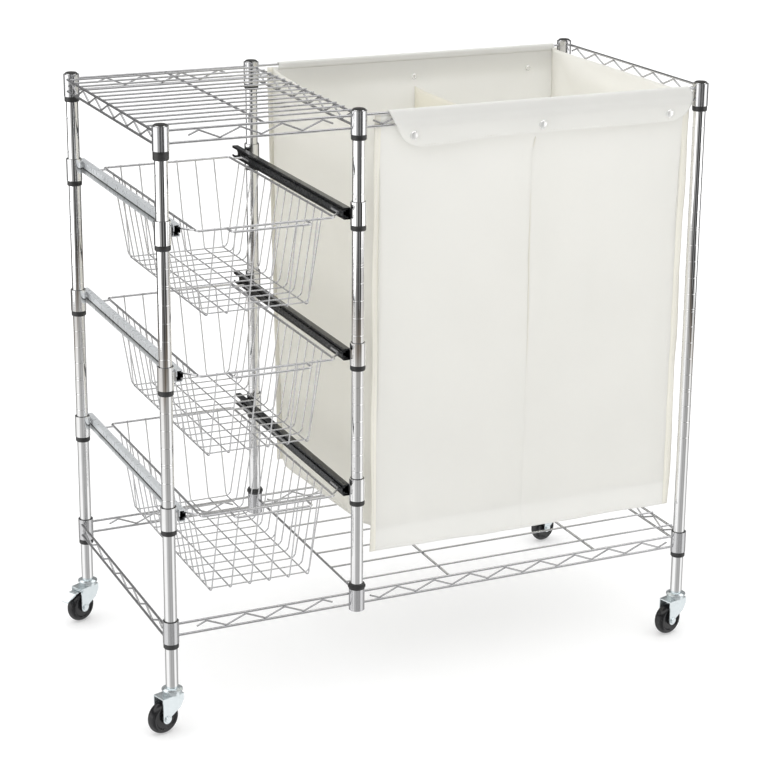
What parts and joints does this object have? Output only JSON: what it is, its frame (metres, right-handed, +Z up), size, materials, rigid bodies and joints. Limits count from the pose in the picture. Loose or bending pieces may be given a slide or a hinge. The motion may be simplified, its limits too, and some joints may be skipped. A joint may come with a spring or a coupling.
{
  "type": "laundry cart",
  "caption": "Wheeled chrome wire laundry cart with wire basket drawers at one end and a divided open-topped canvas bag at the other.",
  "frame": {"origin": "middle of the cart's footprint box, on the floor", "axes": "+X from the drawers towards the bag, +Y from the front (drawer handles) to the back, +Z up"},
  "size_m": [0.8934, 0.4787, 0.874],
  "materials": {
    "post_chrome": "bright chrome plating on steel tube",
    "collar_chrome": "bright chrome plating",
    "wire_chrome": "chrome-plated welded steel wire",
    "basket_chrome": "chrome-plated welded steel wire",
    "rail_steel": "zinc-plated roll-formed strip",
    "runner_steel": "zinc-plated roll-formed strip, greased",
    "black_plastic": "moulded black plastic",
    "dark_plastic": "moulded dark grey plastic",
    "canvas": "off-white woven canvas",
    "divider_canvas": "off-white woven canvas",
    "snap_metal": "nickel-plated press stud",
    "wheel_rubber": "hard black rubber, moulded",
    "zinc": "bright zinc plating"
  },
  "bodies": {
    "frame": {"back_snaps": "snap_metal", "bag_divider": "divider_canvas", "bottom_shelf": "wire_chrome", "bottom_shelf_sleeves": "black_plastic", "caster_stem_back_left": "zinc", "caster_stem_back_right": "zinc", "caster_stem_front_left": "zinc", "caster_stem_front_right": "zinc", "front_snaps": "snap_metal", "laundry_bag": "canvas", "middle_post_feet": "black_plastic", "post_back_left": "post_chrome", "post_back_middle": "post_chrome", "post_back_right": "post_chrome", "post_caps": "dark_plastic", "post_front_left": "post_chrome", "post_front_middle": "post_chrome", "post_front_right": "post_chrome", "rail_bottom_left": "rail_steel", "rail_bottom_right": "rail_steel", "rail_collars_bottom": "collar_chrome", "rail_collars_middle": "collar_chrome", "rail_collars_top": "collar_chrome", "rail_middle_left": "rail_steel", "rail_middle_right": "rail_steel", "rail_sleeves_bottom": "black_plastic", "rail_sleeves_middle": "black_plastic", "rail_sleeves_top": "black_plastic", "rail_top_left": "rail_steel", "rail_top_right": "rail_steel", "stem_inserts": "black_plastic", "top_frame": "wire_chrome", "top_frame_sleeves": "black_plastic"},
    "drawer_top": {"basket_top": "basket_chrome", "runner_top_left": "runner_steel", "runner_top_right": "runner_steel"},
    "drawer_middle": {"basket_middle": "basket_chrome", "runner_middle_left": "runner_steel", "runner_middle_right": "runner_steel"},
    "drawer_bottom": {"basket_bottom": "basket_chrome", "runner_bottom_left": "runner_steel", "runner_bottom_right": "runner_steel"},
    "caster_front_left": {"caster_axle_front_left": "zinc", "caster_fork_front_left": "zinc"},
    "wheel_front_left": {"caster_wheel_front_left": "wheel_rubber"},
    "caster_back_left": {"brake_pin_back_left": "zinc", "caster_axle_back_left": "zinc", "caster_fork_back_left": "zinc"},
    "wheel_back_left": {"caster_wheel_back_left": "wheel_rubber"},
    "brake_back_left": {"brake_lever_back_left": "zinc"},
    "caster_front_right": {"caster_axle_front_right": "zinc", "caster_fork_front_right": "zinc"},
    "wheel_front_right": {"caster_wheel_front_right": "wheel_rubber"},
    "caster_back_right": {"caster_axle_back_right": "zinc", "caster_fork_back_right": "zinc"},
    "wheel_back_right": {"caster_wheel_back_right": "wheel_rubber"}
  },
  "joints": [
    {"name": "drawer_top_slide", "type": "slide", "parent": "frame", "child": "drawer_top", "axis": [0, -1, 0], "range_m": [0, 0.32]},
    {"name": "drawer_middle_slide", "type": "slide", "parent": "frame", "child": "drawer_middle", "axis": [0, -1, 0], "range_m": [0, 0.32]},
    {"name": "drawer_bottom_slide", "type": "slide", "parent": "frame", "child": "drawer_bottom", "axis": [0, -1, 0], "range_m": [0, 0.32]},
    {"name": "swivel_front_left", "type": "hinge", "parent": "frame", "child": "caster_front_left", "pos_m": [-0.39853, -0.19765, 0.058], "axis": [0, 0, 1], "continuous": true},
    {"name": "wheel_front_left_spin", "type": "hinge", "parent": "caster_front_left", "child": "wheel_front_left", "pos_m": [-0.4147, -0.2029, 0.024], "axis": [0.309, -0.9511, 0], "continuous": true},
    {"name": "swivel_back_left", "type": "hinge", "parent": "frame", "child": "caster_back_left", "pos_m": [-0.39853, 0.21435, 0.058], "axis": [0, 0, 1], "continuous": true},
    {"name": "wheel_back_left_spin", "type": "hinge", "parent": "caster_back_left", "child": "wheel_back_left", "pos_m": [-0.41368, 0.20663, 0.024], "axis": [0.454, -0.891, 0], "continuous": true},
    {"name": "brake_back_left_hinge", "type": "hinge", "parent": "caster_back_left", "child": "brake_back_left", "pos_m": [-0.4168, 0.20504, 0.0512], "axis": [0.454, -0.891, 0], "range_deg": [0, 8]},
    {"name": "swivel_front_right", "type": "hinge", "parent": "frame", "child": "caster_front_right", "pos_m": [0.43146, -0.19765, 0.058], "axis": [0, 0, 1], "continuous": true},
    {"name": "wheel_front_right_spin", "type": "hinge", "parent": "caster_front_right", "child": "wheel_front_right", "pos_m": [0.41517, -0.20248, 0.024], "axis": [0.284, -0.9588, 0], "continuous": true},
    {"name": "swivel_back_right", "type": "hinge", "parent": "frame", "child": "caster_back_right", "pos_m": [0.43146, 0.21435, 0.058], "axis": [0, 0, 1], "continuous": true},
    {"name": "wheel_back_right_spin", "type": "hinge", "parent": "caster_back_right", "child": "wheel_back_right", "pos_m": [0.41549, 0.20854, 0.024], "axis": [0.342, -0.9397, 0], "continuous": true}
  ]
}
